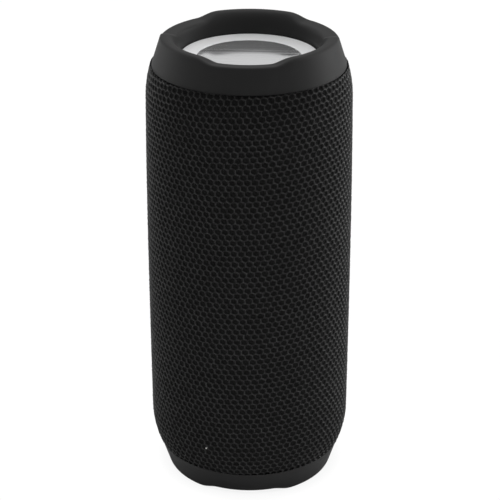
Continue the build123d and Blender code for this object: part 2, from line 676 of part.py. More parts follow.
# ---- Spine, keys and port flap ------------------------------------------------------------------
def rear_spine():
    """Lid of the electronics bay with the raised stadium that shows through the fabric."""
    skin = body_core(-SPINE_PROUD, SEAM_LOW, SEAM_HIGH)
    lid_w = BAY_HALF_W + BAY_WALL
    lid = disc(LID_R, LID_LOW, LID_HIGH) & block(-lid_w, lid_w, 25, 40, 0, HEIGHT)
    column = skin & spine_outline(0, 25, 42)
    spine = (lid + column) - disc(HOUSING_R, 0, HEIGHT)
    for z in KEY_HEIGHTS.values():
        spine = spine - rod_y(KEY_R + KEY_CLEAR, 0, z, 30, 42)
    for side in (-1, 1):
        for z in BOSS_HEIGHTS:
            spine = spine - rod_y(0.7, side * LID_SCREW_X, z, 26, 40)
            spine = spine - rod_y(1.5, side * LID_SCREW_X, z, LID_SCREW_Y, 40)
    spine = spine - rod_y(0.5, 0, MIC_Z, 30, 42) - rod_y(CHARGE_LIGHT_R + 0.05, 0, CHARGE_LIGHT_Z, 30, 42)
    return spine - port_bay()


def hinge_rod(radius, half_length):
    """Cylinder on the flap's hinge axis."""
    return rod_x(radius, HINGE_Y, HINGE_Z, -half_length, half_length)


def port_bay():
    """Everything cut out of the spine for the ports, the flap and its hinge pin."""
    low = HINGE_Z - HINGE_R - DOOR_CLEAR
    bay = block(-BAY_DOOR_HALF_W, BAY_DOOR_HALF_W, PORT_FLOOR_Y, 42, low, PORT_TOP)
    nail_notch = rod_y(3.0, 0, PORT_TOP + 0.4, 38.1, 42)
    usb_hole = Pos(0, 30, USB_Z) * Rot(90, 0, 0) * RectangleRounded(9.2, 3.5, 1.7)
    cut = bay + nail_notch + extrude(usb_hole, amount=8, dir=(0, 1, 0))
    cut = cut + rod_y(3.1, 0, AUX_Z, 30, 38)
    cut = cut + block(-1.2, 1.2, 30, 38, CARD_Z - 6.3, CARD_Z + 6.3)
    return cut + hinge_rod(PIN_R, PIN_HALF_L)


def port_flap():
    """Cover over the ports that turns on a pin along its lower edge."""
    half_w = BAY_DOOR_HALF_W - DOOR_CLEAR
    plate = block(-half_w, half_w, FLAP_BACK_Y, 42, HINGE_Z, PORT_TOP - DOOR_CLEAR)
    knuckle = hinge_rod(HINGE_R, half_w)
    flap = (plate + knuckle) & body_core(-SPINE_PROUD, SEAM_LOW, SEAM_HIGH)
    return flap - hinge_rod(PIN_R + PIN_CLEAR, half_w)


def flap_gasket():
    """Soft rib on the flap's inside that keeps water out of the ports."""
    low = HINGE_Z + 2.4
    high = PORT_TOP - 1.2
    rib = 0.8
    outer = block(-4.6, 4.6, FLAP_BACK_Y - rib, FLAP_BACK_Y, low, high)
    return outer - block(-4.6 + rib, 4.6 - rib, FLAP_BACK_Y - rib, FLAP_BACK_Y, low + rib, high - rib)


def key_symbol(name, z):
    """Generic symbol sunk into a key's face."""
    half = SYMBOL_LINE / 2
    reach = 2.3
    top_y = BODY_R + SPINE_PROUD + KEY_PROUD
    low_y = top_y - SYMBOL_DEPTH
    bar = block(-reach, reach, low_y, 42, z - half, z + half)
    if name == "volume_down_button":
        return bar
    if name == "volume_up_button":
        return bar + block(-half, half, low_y, 42, z - reach, z + reach)
    if name == "play_button":
        outline = Polyline((-1.6, -2.1), (2.2, 0), (-1.6, 2.1), close=True)
        return extrude(Pos(0, low_y, z) * Rot(90, 0, 180) * make_face(outline), amount=4, dir=(0, 1, 0))
    circle = rod_y(reach, 0, z, low_y, 42) - rod_y(reach - SYMBOL_LINE, 0, z, low_y, 42)
    if name == "mode_button":
        return circle
    gap = block(-1.0, 1.0, low_y, 42, z, z + 3)
    return circle - gap + block(-half, half, low_y, 42, z, z + 2.9)


def key(name, z):
    """Push key: cap, retaining flange behind the spine and a stem over its switch."""
    face = body_core(-SPINE_PROUD - KEY_PROUD, SEAM_LOW, SEAM_HIGH)
    cap = rod_y(KEY_R, 0, z, 33.6, 42) & face
    flange = rod_y(KEY_FLANGE_R, 0, z, 33.4, 34.4)
    stem = rod_y(1.6, 0, z, 32.1, 33.6)
    return cap + flange + stem - key_symbol(name, z)


def spine_screws():
    """Six flat-head screws that hold the spine's base to the bay walls."""
    one = Rot(-90, 0, 0) * screw(1.4, 0.7, 0.7, 6.5)
    return [Pos(side * LID_SCREW_X, LID_SCREW_Y, z) * one for side in (-1, 1) for z in BOSS_HEIGHTS]


# ---- Front status light -------------------------------------------------------------------------
def status_rod(radius, r0, r1):
    """Cylinder that points outwards at the status light's place."""
    lying = Rot(0, 90, 0) * Pos(0, 0, (r0 + r1) / 2) * Cylinder(radius, r1 - r0)
    return Pos(0, 0, STATUS_Z) * Rot(0, 0, STATUS_ANGLE) * lying


def status_led():
    """Small lamp that stands on the housing's lower collar and reaches up to the light pipe."""
    lamp = Pos(HOUSING_R + 0.4, 0, -0.8) * Box(0.6, 1.6, 2.4)
    return Pos(0, 0, STATUS_Z) * Rot(0, 0, STATUS_ANGLE) * lamp


def light_pipes():
    """Clear pins that carry light to the front pinhole and to the spine."""
    front = status_rod(STATUS_R, HOUSING_R + 0.7, body_radius(STATUS_Z) + 0.1)
    charge_face = body_radius(CHARGE_LIGHT_Z) + SPINE_PROUD
    return [front, rod_y(CHARGE_LIGHT_R, 0, CHARGE_LIGHT_Z, BOARD_FRONT_Y + 2.2, charge_face)]


# ---- Build and write ----------------------------------------------------------------------------
def speaker_nodes():
    """Every named piece of the speaker."""
    whole = housing_whole()
    nodes = {
        "fabric_sleeve": fabric_sleeve(),
        "grille_shell": grille_shell(),
        "front_housing": front_housing(whole),
        "rear_housing": rear_housing(whole),
        "housing_seal": housing_seal(whole),
        "housing_screws": housing_screws(),
        "radiator_gaskets": [radiator_gasket(), at_bottom(radiator_gasket())],
        "radiator_screws": radiator_screws(),
        "driver_screws": driver_screws(),
        "main_board": main_board(),
        "board_fasteners": board_fasteners(),
        "board_components": board_components(),
        "key_board": key_board(),
        "tact_switches": tact_switches(),
        "bluetooth_module": block(-6, 6, BOARD_FRONT_Y, BOARD_FRONT_Y + 2.2, 61.5, 75.5),
        "charge_port": charge_port(),
        "aux_jack": aux_jack(),
        "card_slot": card_slot(),
        "battery_cell": battery_cell(),
        "battery_cradle": battery_cradle(),
        "speaker_wires": speaker_wires(),
        "rear_spine": rear_spine(),
        "spine_screws": spine_screws(),
        "flap_hinge_pin": hinge_rod(PIN_R, PIN_HALF_L),
        "port_flap": port_flap(),
        "flap_gasket": flap_gasket(),
        "status_led": status_led(),
        "light_pipes": light_pipes(),
    }
    end_pieces = {
        "end_ring": end_ring(),
        "radiator_frame": radiator_frame(),
        "radiator_surround": radiator_surround(),
        "radiator_plate": radiator_plate(),
        "radiator_weight": radiator_weight(),
    }
    for name, shape in end_pieces.items():
        nodes[f"top_{name}"] = shape
        nodes[f"bottom_{name}"] = at_bottom(shape)
    for name, z in KEY_HEIGHTS.items():
        nodes[name] = key(name, z)
    for name, height in DRIVER_HEIGHTS.items():
        nodes.update(driver_nodes(name, height))
    pairs = {
        "driver_gaskets": ring(DRIVER_R, 22.0, FLANGE_T, FLANGE_T + 1.0),
        "driver_top_plates": ring(MOTOR_R, 7.35, MAGNET_H, PLATE_H),
        "driver_yokes": disc(MOTOR_R, YOKE_H - YOKE_T, YOKE_H) + disc(6.2, YOKE_H, PLATE_H),
    }
    for name, shape in pairs.items():
        nodes[name] = [on_baffle(shape, height) for height in DRIVER_HEIGHTS.values()]
    return nodes


def write_nodes(nodes):
    """Write each node to its own STEP file; a list becomes a group of separate solids."""
    os.makedirs("parts", exist_ok=True)
    for name, shape in nodes.items():
        solids = shape if isinstance(shape, list) else [shape]
        group = Compound(children=[s for part in solids for s in part.solids()])
        export_step(group, f"parts/{name}.step")


write_nodes(speaker_nodes())
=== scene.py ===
"""Visual model of a portable Bluetooth speaker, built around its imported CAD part.

Shapes are worked out in millimetres in the CAD frame (Z up, front towards -Y) and written in metres.
"""
import json
import math

import bmesh
import bpy
import numpy as np
from mathutils import Matrix, Vector

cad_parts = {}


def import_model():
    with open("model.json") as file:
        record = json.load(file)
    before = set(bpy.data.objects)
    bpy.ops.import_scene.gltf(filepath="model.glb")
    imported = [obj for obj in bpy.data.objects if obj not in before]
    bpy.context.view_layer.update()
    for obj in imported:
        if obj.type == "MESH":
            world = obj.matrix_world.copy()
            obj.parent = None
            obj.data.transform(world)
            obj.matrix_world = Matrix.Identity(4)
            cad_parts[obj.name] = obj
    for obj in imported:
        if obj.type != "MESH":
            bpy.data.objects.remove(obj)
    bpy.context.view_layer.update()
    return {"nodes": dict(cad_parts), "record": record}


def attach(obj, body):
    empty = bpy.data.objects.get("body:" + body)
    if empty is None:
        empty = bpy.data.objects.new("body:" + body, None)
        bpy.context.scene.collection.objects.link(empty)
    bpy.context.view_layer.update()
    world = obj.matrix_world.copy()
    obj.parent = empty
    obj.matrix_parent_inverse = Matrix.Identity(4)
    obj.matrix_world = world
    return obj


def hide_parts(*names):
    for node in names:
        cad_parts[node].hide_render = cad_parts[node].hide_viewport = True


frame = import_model()

MM = 0.001

# ---- Dimensions in millimetres and angles in degrees; most are the CAD part's own -------------
HEIGHT = 178.0
RING_H = 11.1
SEAM_LOW = RING_H
SEAM_HIGH = HEIGHT - RING_H
MID_Z = HEIGHT / 2
BODY_R = 39.0
SHOULDER_H = 13.0
# Body radius where each shoulder begins, and the radius of the shoulder's arc
UPPER_SHOULDER = (38.46, 45.7)
LOWER_SHOULDER = (38.83, 34.33)

CELLS_ROUND = 90              # holes in one turn of the knit
COLUMN_UNITS = 4 * CELLS_ROUND
ROW_UNITS = 6
UNIT_H = 0.355                # height of one lattice unit
UNIT_W = 0.7                  # rough width of one lattice unit
CLIMB_ROWS = 6                # the rows climb by this many in one turn
SKEW_UNITS = CLIMB_ROWS * ROW_UNITS
LOWEST_ROW = -8               # rows start below the seam, because they climb
WALE_LEAN = 0.065             # the columns of holes lean, sideways over upwards
# Lift and painted shade of the net's strands; those that fall to the right stand proud and get the palest
# tone, a painted highlight
UPRIGHT = (0.16, 0.26)
NODE = (0.16, 0.20)
SLANT_DOWN = (0.20, 0.10)
SLANT_UP = (-0.04, 0.42)
YARN_WANDER = 0.09            # how far the yarn strays from a perfect net
LIFT_WANDER = 0.03
SHADE_WANDER = 0.08
HOLE_DEPTH = 0.5
HOLE_SIZE = 0.54              # hole over cell
HOLE_WANDER = 0.04
CELL_REACH = 1.32             # typical distance from a cell's middle to its edge
HOLE_ROUNDING = 0.8           # 0 keeps the cell's shape, 1 makes the hole round
SEAM_SPARE = 1.3              # cells whose middle lies further past a seam are left out
FABRIC_EDGE = 0.75            # turned-in edge at the seams and round the spine

RING_BASE_R = 36.2
RING_TOP_R = 32.5
RING_BORE_R = 26.2
RING_UNDER = 1.5              # how far the ring's foot reaches past the seam
RING_FOOT_R = 35.2
CREST_IN_R = 31.0             # where the inner face begins to curve down to the bore
HORN_LOW = 3.0                # height above the seam where that curve meets the bore
RING_ROUND = 0.9              # how softly the ring's faces run into each other
DIP_DEPTH = 2.1
DIP_TILT = 5.5                # the dips fall inwards by this angle
DIP_ANGLES = (-90.8, 29.2, 149.2)
DIP_MID = 27.0                # angle from a dip's middle to the middle of its slope
DIP_RUN = 16.0                # angle that the slope takes up
RING_COLUMNS = 288
RING_POINTS = 84
RAY_START = (CREST_IN_R, 5.0) # place inside the section from which its skin is sought
RAY_REACH = 14.0
HALVINGS = 40

PLATE_Z = 170.0               # outer edge of the silver plate's face
PLATE_R = 25.8
PLATE_T = 1.2
DISC_R = 19.6                 # flat centre inside the sloping rim
DISC_DROP = 0.6
GROOVE_W = 0.35
GROOVE_D = 0.3

SPINE_HALF_W = 7.5
SPINE_LOW = 20.0
SPINE_HIGH = 158.0
SPINE_GAP = 0.1
SPINE_PROUD = 0.1
SPINE_T = 2.9
BACKING_IN = 2.6              # depth of the backing behind the keys
KEY_R = 4.6
KEY_CLEAR = 0.1
KEY_PROUD = 0.15
KEY_T = 2.0
KEY_HEIGHTS = {"power_button": 146.0, "volume_up_button": 131.0, "play_button": 116.0,
               "volume_down_button": 101.0, "mode_button": 86.0}
SYMBOL_DEPTH = 0.3
SYMBOL_LINE = 0.7
SYMBOL_R = 2.3
MIC_Z = 153.6
CHARGE_LIGHT_Z = 71.0
BAY_HALF_W = 5.5              # opening for the ports and their flap
BAY_LOW = 27.6
BAY_HIGH = 63.0
NOTCH_R = 3.0                 # nail notch over the flap
NOTCH_Z = 63.4
FLAP_CLEAR = 0.1
FLAP_T = 1.5
KNUCKLE_R = 1.25
HINGE_Y = 37.7
HINGE_Z = 29.0
USB_Z = 57.5
AUX_Z = 49.0
CARD_Z = 38.0
PORT_FLOOR_IN = 2.7           # depth of the wall that the ports look out of
NOTCH_FLOOR_IN = 0.9

LIP_Z = 164.6                 # underside of the surround's flat lips
LIP_T = 0.8
LIP_R = 32.0
HUB_R = 21.5
ROLL_IN_R = 24.2
ROLL_OUT_R = 30.4
ROLL_T = 0.6


# ---- Mesh helpers -----------------------------------------------------------------------------
def mesh_object(name, points, faces, sharp=180.0):
    """Object from points in millimetres; edges bent by more than the sharp angle stay crisp."""
    mesh = bpy.data.meshes.new(name)
    mesh.from_pydata((np.asarray(points, float) * MM).tolist(), [], faces)
    mesh.update()
    mesh.shade_smooth()
    if sharp < 180:
        mesh.set_sharp_from_angle(angle=math.radians(sharp))
    obj = bpy.data.objects.new(name, mesh)
    bpy.context.scene.collection.objects.link(obj)
    return obj


def place(obj, body, slot, material, *nodes):
    """Rides on a body, takes a material, and stands for the CAD nodes; the slot argument is not used."""
    obj.data.materials.append(material)
    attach(obj, body)
    if nodes:
        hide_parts(*nodes)
    return obj


def body_radius(z):
    """Outer radius of the fabric at a height: rounded shoulders and a slight barrel."""
    start_r, arc_r = UPPER_SHOULDER if z > MID_Z else LOWER_SHOULDER
    drop = SHOULDER_H - min(z - SEAM_LOW, SEAM_HIGH - z)
    if drop > 0:
        return start_r - arc_r + math.sqrt(arc_r ** 2 - drop ** 2)
    from_middle = (z - MID_Z) / (MID_Z - SEAM_LOW - SHOULDER_H)
    return BODY_R - (BODY_R - start_r) * from_middle ** 2


# ---- Knitted sleeve ---------------------------------------------------------------------------
HEX_EDGE = ((0, 4), (1, 3), (2, 2), (2, 0), (2, -2), (1, -3),
            (0, -4), (-1, -3), (-2, -2), (-2, 0), (-2, 2), (-1, 3))


def lattice_to_surface(x_units, y_units):
    """Angle round the body and height of a lattice place."""
    angle = math.pi / 2 + 2 * math.pi * x_units / COLUMN_UNITS
    height = SEAM_LOW + UNIT_H * (y_units + SKEW_UNITS * x_units / COLUMN_UNITS)
    angle -= WALE_LEAN * (height - MID_Z) / BODY_R
    return angle, height


def keep_on_fabric(angle, height):
    """Moves a place back to the fabric's edge when it lies past a seam or inside the spine."""
    height = min(max(height, SEAM_LOW), SEAM_HIGH)
    radius = body_radius(height)
    if math.sin(angle) < 0:
        return angle, height, False
    x = radius * math.cos(angle)
    half_w = SPINE_HALF_W + SPINE_GAP
    centre_z = min(max(height, SPINE_LOW + SPINE_HALF_W), SPINE_HIGH - SPINE_HALF_W)
    away = math.hypot(x, height - centre_z)
    if away >= half_w:
        return angle, height, False
    if away < 0.001:
        return angle, height, True
    x = x * half_w / away
    height = centre_z + (height - centre_z) * half_w / away
    return math.acos(x / body_radius(height)), height, True


def fabric_point(angle, height, lift):
    """Point on the fabric, raised or sunk by the lift."""
    radius = body_radius(height) + lift
    return (radius * math.cos(angle), radius * math.sin(angle), height)


def strand_kind(x_units, y_units):
    """Lift and painted shade at a corner of a hole or half way along a strand."""
    if y_units % 2 == 0:
        return UPRIGHT if y_units % ROW_UNITS == 0 else NODE
    band = (y_units - 3) // ROW_UNITS
    return SLANT_DOWN if (x_units - 2 * (band % 2)) % 4 == 1 else SLANT_UP


def knit_net():
    """Points, faces and painted shade of the whole knit: a staggered net of round holes."""
    rng = np.random.default_rng(7)
    points, faces, painted_shades = [], [], []
    shared = {}

    def net_point(x_units, y_units):
        turns, column = divmod(x_units, COLUMN_UNITS)
        key = (column, y_units + turns * SKEW_UNITS)
        if key not in shared:
            angle, height = lattice_to_surface(*key)
            angle += rng.normal(0, YARN_WANDER) / BODY_R
            height += rng.normal(0, YARN_WANDER)
            angle, height, hidden = keep_on_fabric(angle, height)
            lift, shade = strand_kind(*key)
            lift += rng.normal(0, LIFT_WANDER)
            shared[key] = (len(points), hidden)
            points.append(fabric_point(angle, height, lift))
            # painted shade of the net: paler on proud strands, with a random spread
            painted_shades.append(shade + abs(rng.normal(0, SHADE_WANDER)))
        return shared[key]

    top_row = int((SEAM_HIGH - SEAM_LOW) / (UNIT_H * ROW_UNITS)) + 3
    for row in range(LOWEST_ROW, top_row):
        for cell in range(CELLS_ROUND):
            x0 = 4 * cell + 2 * (row % 2)
            y0 = ROW_UNITS * row
            _, middle_z = lattice_to_surface(x0, y0)
            if not SEAM_LOW - SEAM_SPARE < middle_z < SEAM_HIGH + SEAM_SPARE:
                continue
            edge = [net_point(x0 + dx, y0 + dy) for dx, dy in HEX_EDGE]
            if all(hidden for _, hidden in edge):
                continue
            edge = [index for index, _ in edge]
            floor = []
            size = HOLE_SIZE * (1 + rng.normal(0, HOLE_WANDER))
            for dx, dy in HEX_EDGE:
                reach = math.hypot(dx * UNIT_W, dy * UNIT_H)
                shrink = size * (CELL_REACH / reach) ** HOLE_ROUNDING
                angle, height = lattice_to_surface(x0 + dx * shrink, y0 + dy * shrink)
                angle, height, _ = keep_on_fabric(angle, height)
                floor.append(len(points))
                points.append(fabric_point(angle, height, -HOLE_DEPTH))
                # hole floors get full painted shade
                painted_shades.append(1.0)
            corners = len(HEX_EDGE)
            for k in range(corners):
                nxt = (k + 1) % corners
                faces.append((edge[nxt], edge[k], floor[k], floor[nxt]))
            faces.append(tuple(reversed(floor)))
    return points, faces, painted_shades


def sort_by_corners(bm):
    """Puts faces in the order of their lowest corners, because extrude_edge_only adds them in any order."""
    bm.verts.index_update()
    count = len(bm.verts)

    def rank(face):
        low, middle, high = sorted(vert.index for vert in face.verts)[:3]
        return (low * count + middle) * count + high

    bm.faces.sort(key=rank)


def fabric_sleeve():
    """Knitted sleeve as one net of yarn, with its edges turned in."""
    points, faces, painted_shades = knit_net()
    obj = mesh_object("knit_sleeve", points, faces)
    bm = bmesh.new()
    bm.from_mesh(obj.data)
    # painted shade per point: full in the holes and on the turned-in edge
    painted_shade = bm.verts.layers.float.new("painted_shade")
    for vert, value in zip(bm.verts, painted_shades):
        vert[painted_shade] = value
    bmesh.ops.remove_doubles(bm, verts=bm.verts, dist=0.02 * MM)
    bmesh.ops.dissolve_degenerate(bm, edges=bm.edges, dist=0.01 * MM)
    loose = [v for v in bm.verts if not v.link_faces]
    bmesh.ops.delete(bm, geom=loose, context="VERTS")
    border = [e for e in bm.edges if len(e.link_faces) == 1]
    turned = bmesh.ops.extrude_edge_only(bm, edges=border)["geom"]
    for vert in (v for v in turned if isinstance(v, bmesh.types.BMVert)):
        flat = Vector((vert.co.x, vert.co.y, 0))
        vert.co -= flat.normalized() * FABRIC_EDGE * MM
        # the turned-in edge gets full painted shade
        vert[painted_shade] = 1.0
    bmesh.ops.recalc_face_normals(bm, faces=bm.faces)
    for face in bm.faces:
        face.smooth = True
    for edge in bm.edges:
        edge.smooth = not all(vert[painted_shade] == 1.0 for vert in edge.verts)
    sort_by_corners(bm)
    bm.to_mesh(obj.data)
    bm.free()
    return obj


# ---- End rings --------------------------------------------------------------------------------
def smooth_max(a, b, soft):
    """Larger of two fields, with the join between them rounded."""
    blend = np.clip(soft - np.abs(a - b), 0, None) / soft
    return np.maximum(a, b) + blend ** 2 * soft / 4


def dip_weight(angles):
    """0 on the lobes and 1 in the dips, with an S-shaped run between them."""
    nearest = np.min([np.abs((angles - dip + 180) % 360 - 180) for dip in DIP_ANGLES], axis=0)
    run = np.clip((DIP_MID + DIP_RUN / 2 - nearest) / DIP_RUN, 0, 1)
    return run ** 2 * (3 - 2 * run)


def ring_field(r, s, weight):
    """Negative inside the ring's cross-section at a radius and a height above the seam."""
    slope = math.atan2(RING_BASE_R - RING_TOP_R, RING_H)
    wall = (r - RING_BASE_R) * math.cos(slope) + s * math.sin(slope)
    tilt = math.tan(math.radians(DIP_TILT))
    top = s - RING_H + weight * (DIP_DEPTH + tilt * (RING_TOP_R - r))
    along = np.clip((CREST_IN_R - r) / (CREST_IN_R - RING_BORE_R), 0, None)
    up = np.clip((s - HORN_LOW) / (RING_H - HORN_LOW), 0, None)
    horn = (np.hypot(along, up) - 1) * (CREST_IN_R - RING_BORE_R)
    return smooth_max(smooth_max(wall, top, RING_ROUND), horn, RING_ROUND)


def ring_outline():
    """Radius and height of the ring's skin for each column round it."""
    angles = np.arange(RING_COLUMNS) * 360.0 / RING_COLUMNS
    weight = dip_weight(angles)[:, None]
    start_r, start_s = RAY_START
    first = math.atan2(0 - start_s, RING_BASE_R - start_r)
    last = math.atan2(-RING_UNDER - start_s, RING_BORE_R - start_r) + 2 * math.pi
    turn = np.linspace(first, last, RING_POINTS)[None, :]
    near = np.zeros((RING_COLUMNS, RING_POINTS))
    far = near + RAY_REACH
    for _ in range(HALVINGS):
        mid = (near + far) / 2
        r = start_r + mid * np.cos(turn)
        s = start_s + mid * np.sin(turn)
        inside = ring_field(r, s, weight) < 0
        near = np.where(inside, mid, near)
        far = np.where(inside, far, mid)
    r = start_r + near * np.cos(turn)
    s = start_s + near * np.sin(turn)
    s = np.where(s > 0, s * RING_H / s.max(), s)
    return np.radians(angles), r, s


def end_ring(name, at_top):
    """Rubber ring with three lobes and three dips, closed underneath."""
    angles, r, s = ring_outline()
    under = np.array([(RING_BORE_R, -RING_UNDER), (RING_FOOT_R, -RING_UNDER), (RING_FOOT_R, 0.0)])
    r = np.concatenate([r, np.tile(under[:, 0], (RING_COLUMNS, 1))], axis=1)
    s = np.concatenate([s, np.tile(under[:, 1], (RING_COLUMNS, 1))], axis=1)
    z = SEAM_HIGH + s if at_top else SEAM_LOW - s
    x = r * np.cos(angles)[:, None]
    y = r * np.sin(angles)[:, None]
    points = np.stack([x, y, z], axis=2).reshape(-1, 3)
    around = r.shape[1]
    faces = []
    for i in range(RING_COLUMNS):
        for k in range(around):
            a = i * around + k
            b = i * around + (k + 1) % around
            c = (i + 1) % RING_COLUMNS * around + (k + 1) % around
            d = (i + 1) % RING_COLUMNS * around + k
            faces.append((a, d, c, b) if at_top else (a, b, c, d))
    return mesh_object(name, points, faces, sharp=50)


# ---- Radiator plates --------------------------------------------------------------------------
def lathe(name, profile, columns=256, sharp=25.0, mirror=False):
    """Turned solid from (radius, height) pairs that begin and end on the axis."""
    inner = profile[1:-1]
    points = []
    for i in range(columns):
        angle = 2 * math.pi * i / columns
        points += [(r * math.cos(angle), r * math.sin(angle), z) for r, z in inner]
    points += [(0, 0, profile[0][1]), (0, 0, profile[-1][1])]
    low, high = len(points) - 2, len(points) - 1
    count = len(inner)
    faces = []
    for i in range(columns):
        here, there = i * count, (i + 1) % columns * count
        for k in range(count - 1):
            faces.append((here + k, there + k, there + k + 1, here + k + 1))
        faces.append((there, here, low))
        faces.append((here + count - 1, there + count - 1, high))
    if mirror:
        points = [(x, y, HEIGHT - z) for x, y, z in points]
        faces = [tuple(reversed(face)) for face in faces]
    return mesh_object(name, points, faces, sharp)


def plate_profile():
    """Underside, edge, sloping rim, groove and flat disc of the radiator plate."""
    disc_z = PLATE_Z - DISC_DROP
    under_z = PLATE_Z - PLATE_T
    bevel = 0.12
    return [
        (0, under_z - DISC_DROP), (DISC_R, under_z - DISC_DROP), (PLATE_R - 1, under_z),
        (PLATE_R - 0.1, under_z), (PLATE_R, under_z + 0.1), (PLATE_R, PLATE_Z - 0.25),
        (PLATE_R - 0.08, PLATE_Z - 0.08), (PLATE_R - 0.3, PLATE_Z),
        (DISC_R + bevel, disc_z + 0.03), (DISC_R, disc_z - 0.1), (DISC_R, disc_z - GROOVE_D),
        (DISC_R - GROOVE_W, disc_z - GROOVE_D), (DISC_R - GROOVE_W, disc_z - 0.1),
        (DISC_R - GROOVE_W - bevel, disc_z), (DISC_R - 1.5, disc_z), (10.0, disc_z), (0, disc_z),
    ]


# ---- Spine, keys and flap ---------------------------------------------------------------------
def circle(x, z, radius, count=48):
    """Loop of points on a circle."""
    turns = [2 * math.pi * k / count for k in range(count)]
    return [(x + radius * math.cos(t), z + radius * math.sin(t)) for t in turns]


def box_loop(x0, x1, z0, z1, corner=0.0, count=6):
    """Rectangle, with round corners if a corner radius is given."""
    if not corner:
        return [(x0, z0), (x1, z0), (x1, z1), (x0, z1)]
    loop = []
    centres = ((x1 - corner, z0 + corner, -90), (x1 - corner, z1 - corner, 0),
               (x0 + corner, z1 - corner, 90), (x0 + corner, z0 + corner, 180))
    for x, z, start in centres:
        for k in range(count + 1):
            turn = math.radians(start + 90 * k / count)
            loop.append((x + corner * math.cos(turn), z + corner * math.sin(turn)))
    return loop


def flat_panel(loops, depth, bevel):
    """Mesh of a flat plate cut along loops, with rounded edges; loops inside loops are holes."""
    curve = bpy.data.curves.new("outline", "CURVE")
    curve.dimensions = "2D"
    curve.fill_mode = "BOTH"
    curve.extrude = depth / 2 - bevel
    curve.bevel_depth = bevel
    curve.bevel_resolution = 2
    curve.offset = -bevel
    for loop in loops:
        spline = curve.splines.new("POLY")
        spline.points.add(len(loop) - 1)
        for point, (x, z) in zip(spline.points, loop):
            point.co = (x, z, 0, 1)
        spline.use_cyclic_u = True
    obj = bpy.data.objects.new("outline", curve)
    bpy.context.scene.collection.objects.link(obj)
    bpy.context.view_layer.update()
    ready = obj.evaluated_get(bpy.context.evaluated_depsgraph_get())
    mesh = bpy.data.meshes.new_from_object(ready)
    bpy.data.objects.remove(obj)
    return mesh


def bent_panel(bm, loops, proud, depth, bevel, shade=0, step=0.8):
    """Adds a plate to a mesh, bent so that its outer face stands proud of the body's surface."""
    part = bmesh.new()
    part.from_mesh(flat_panel(loops, depth, bevel))
    bmesh.ops.remove_doubles(part, verts=part.verts, dist=0.002)
    xs = [point[0] for loop in loops for point in loop]
    zs = [point[1] for loop in loops for point in loop]
    cuts = [((x, 0, 0), (1, 0, 0)) for x in np.arange(min(xs) + step / 2, max(xs), step)]
    cuts += [((0, z, 0), (0, 1, 0)) for z in np.arange(min(zs) + 2, max(zs), 5.0)]
    for place_mm, normal in cuts:
        everything = part.verts[:] + part.edges[:] + part.faces[:]
        bmesh.ops.bisect_plane(part, geom=everything, plane_co=place_mm, plane_no=normal)
    for vert in part.verts:
        x, z, out = vert.co
        radius = body_radius(min(max(z, SEAM_LOW), SEAM_HIGH))
        y = math.sqrt(radius ** 2 - x ** 2) + proud + out - depth / 2
        vert.co = (x * MM, y * MM, z * MM)
    bmesh.ops.recalc_face_normals(part, faces=part.faces)
    for face in part.faces:
        face.material_index = shade
        face.smooth = True
    made = bpy.data.meshes.new("part")
    part.to_mesh(made)
    part.free()
    bm.from_mesh(made)
    bpy.data.meshes.remove(made)


def finish_panels(name, bm):
    """Turns collected plates into one object with crisp and soft edges told apart."""
    mesh = bpy.data.meshes.new(name)
    bm.to_mesh(mesh)
    bm.free()
    mesh.set_sharp_from_angle(angle=math.radians(40))
    obj = bpy.data.objects.new(name, mesh)
    bpy.context.scene.collection.objects.link(obj)
    return obj


def rear_spine():
    """Raised stadium with openings for the keys, the ports, the microphone and the charge light."""
    bay = box_loop(-BAY_HALF_W, BAY_HALF_W, BAY_LOW, BAY_HIGH)
    half = math.sqrt(NOTCH_R ** 2 - (NOTCH_Z - BAY_HIGH) ** 2)
    rise = math.asin((BAY_HIGH - NOTCH_Z) / NOTCH_R)
    turns = np.linspace(rise, math.pi - rise, 14)
    arc = [(NOTCH_R * math.cos(t), NOTCH_Z + NOTCH_R * math.sin(t)) for t in turns]
    bay = bay[:3] + arc + bay[3:]
    stadium = box_loop(-SPINE_HALF_W, SPINE_HALF_W, SPINE_LOW, SPINE_HIGH, SPINE_HALF_W - 0.01, 16)
    keys = [circle(0, z, KEY_R + KEY_CLEAR) for z in KEY_HEIGHTS.values()]
    pinholes = [circle(0, MIC_Z, 0.5, 16), circle(0, CHARGE_LIGHT_Z, 0.65, 16)]
    bm = bmesh.new()
    bent_panel(bm, [stadium, bay] + keys + pinholes, SPINE_PROUD, SPINE_T, 0.22)
    usb = box_loop(-4.6, 4.6, USB_Z - 1.75, USB_Z + 1.75, 1.7)
    slot = box_loop(-1.2, 1.2, CARD_Z - 6.3, CARD_Z + 6.3, 0.3, 3)
    port_wall = box_loop(-6.3, 6.3, BAY_LOW - 0.9, BAY_HIGH + 4.2)
    bent_panel(bm, [port_wall, usb, circle(0, AUX_Z, 3.1), slot], -PORT_FLOOR_IN, 0.8, 0.12)
    notch = [(half, BAY_HIGH)] + arc + [(-half, BAY_HIGH)]
    bent_panel(bm, [[(x * 1.03, z) for x, z in notch]], -NOTCH_FLOOR_IN, 1.0, 0.05)
    backing = box_loop(-5.6, 5.6, 80.0, 152.0, 1.0)
    bent_panel(bm, [backing], -BACKING_IN, 0.8, 0.1)
    return finish_panels("spine_moulding", bm)


